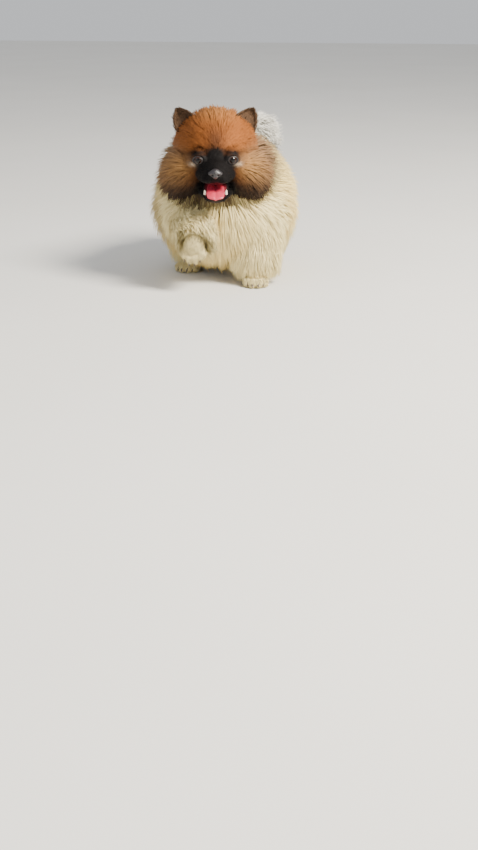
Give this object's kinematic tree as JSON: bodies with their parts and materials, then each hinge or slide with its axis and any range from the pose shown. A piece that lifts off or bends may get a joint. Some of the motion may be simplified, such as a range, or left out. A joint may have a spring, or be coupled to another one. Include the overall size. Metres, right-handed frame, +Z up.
{
  "type": "pomeranian puppy model",
  "caption": "Life-size still model of a fluffy pomeranian puppy in mid-stride, one foreleg lifted, mouth open, tail curled over its back.",
  "frame": {"origin": "the middle of the bounding box's floor, level with the soles of the three planted paws", "axes": "the puppy faces -Y and its left side is +X; +Z is up. +Y is the longest extent and +X the shortest"},
  "size_m": [0.1906, 0.2658, 0.2215],
  "materials": {
    "tan_coat": "soft plush coat, orange tan with dark tips",
    "sable_coat": "soft plush coat, dark sable brown",
    "cream_coat": "soft plush coat, cream",
    "white_coat": "long soft plume, white",
    "dark_coat": "short velvety coat, dark grey brown",
    "mask_coat": "short coat, near black",
    "nose_leather": "damp, black",
    "tongue": "wet, pink red",
    "eye": "wet, very dark brown",
    "tooth": "glossy ivory"
  },
  "bodies": {
    "root": {"head": "tan_coat", "neck": "sable_coat", "torso": "cream_coat", "tail_root": "white_coat", "tail_plume": "white_coat", "ear_left": "dark_coat", "ear_right": "dark_coat", "jaw": "mask_coat", "nose": "nose_leather", "tongue": "tongue", "eye_left": "eye", "eye_right": "eye", "tooth_left": "tooth", "tooth_right": "tooth", "left_fore_leg": "cream_coat", "left_fore_paw": "cream_coat", "right_fore_leg": "cream_coat", "right_fore_paw": "cream_coat", "left_hind_leg": "cream_coat", "left_hind_paw": "cream_coat", "right_hind_leg": "cream_coat", "right_hind_paw": "cream_coat"}
  },
  "joints": []
}
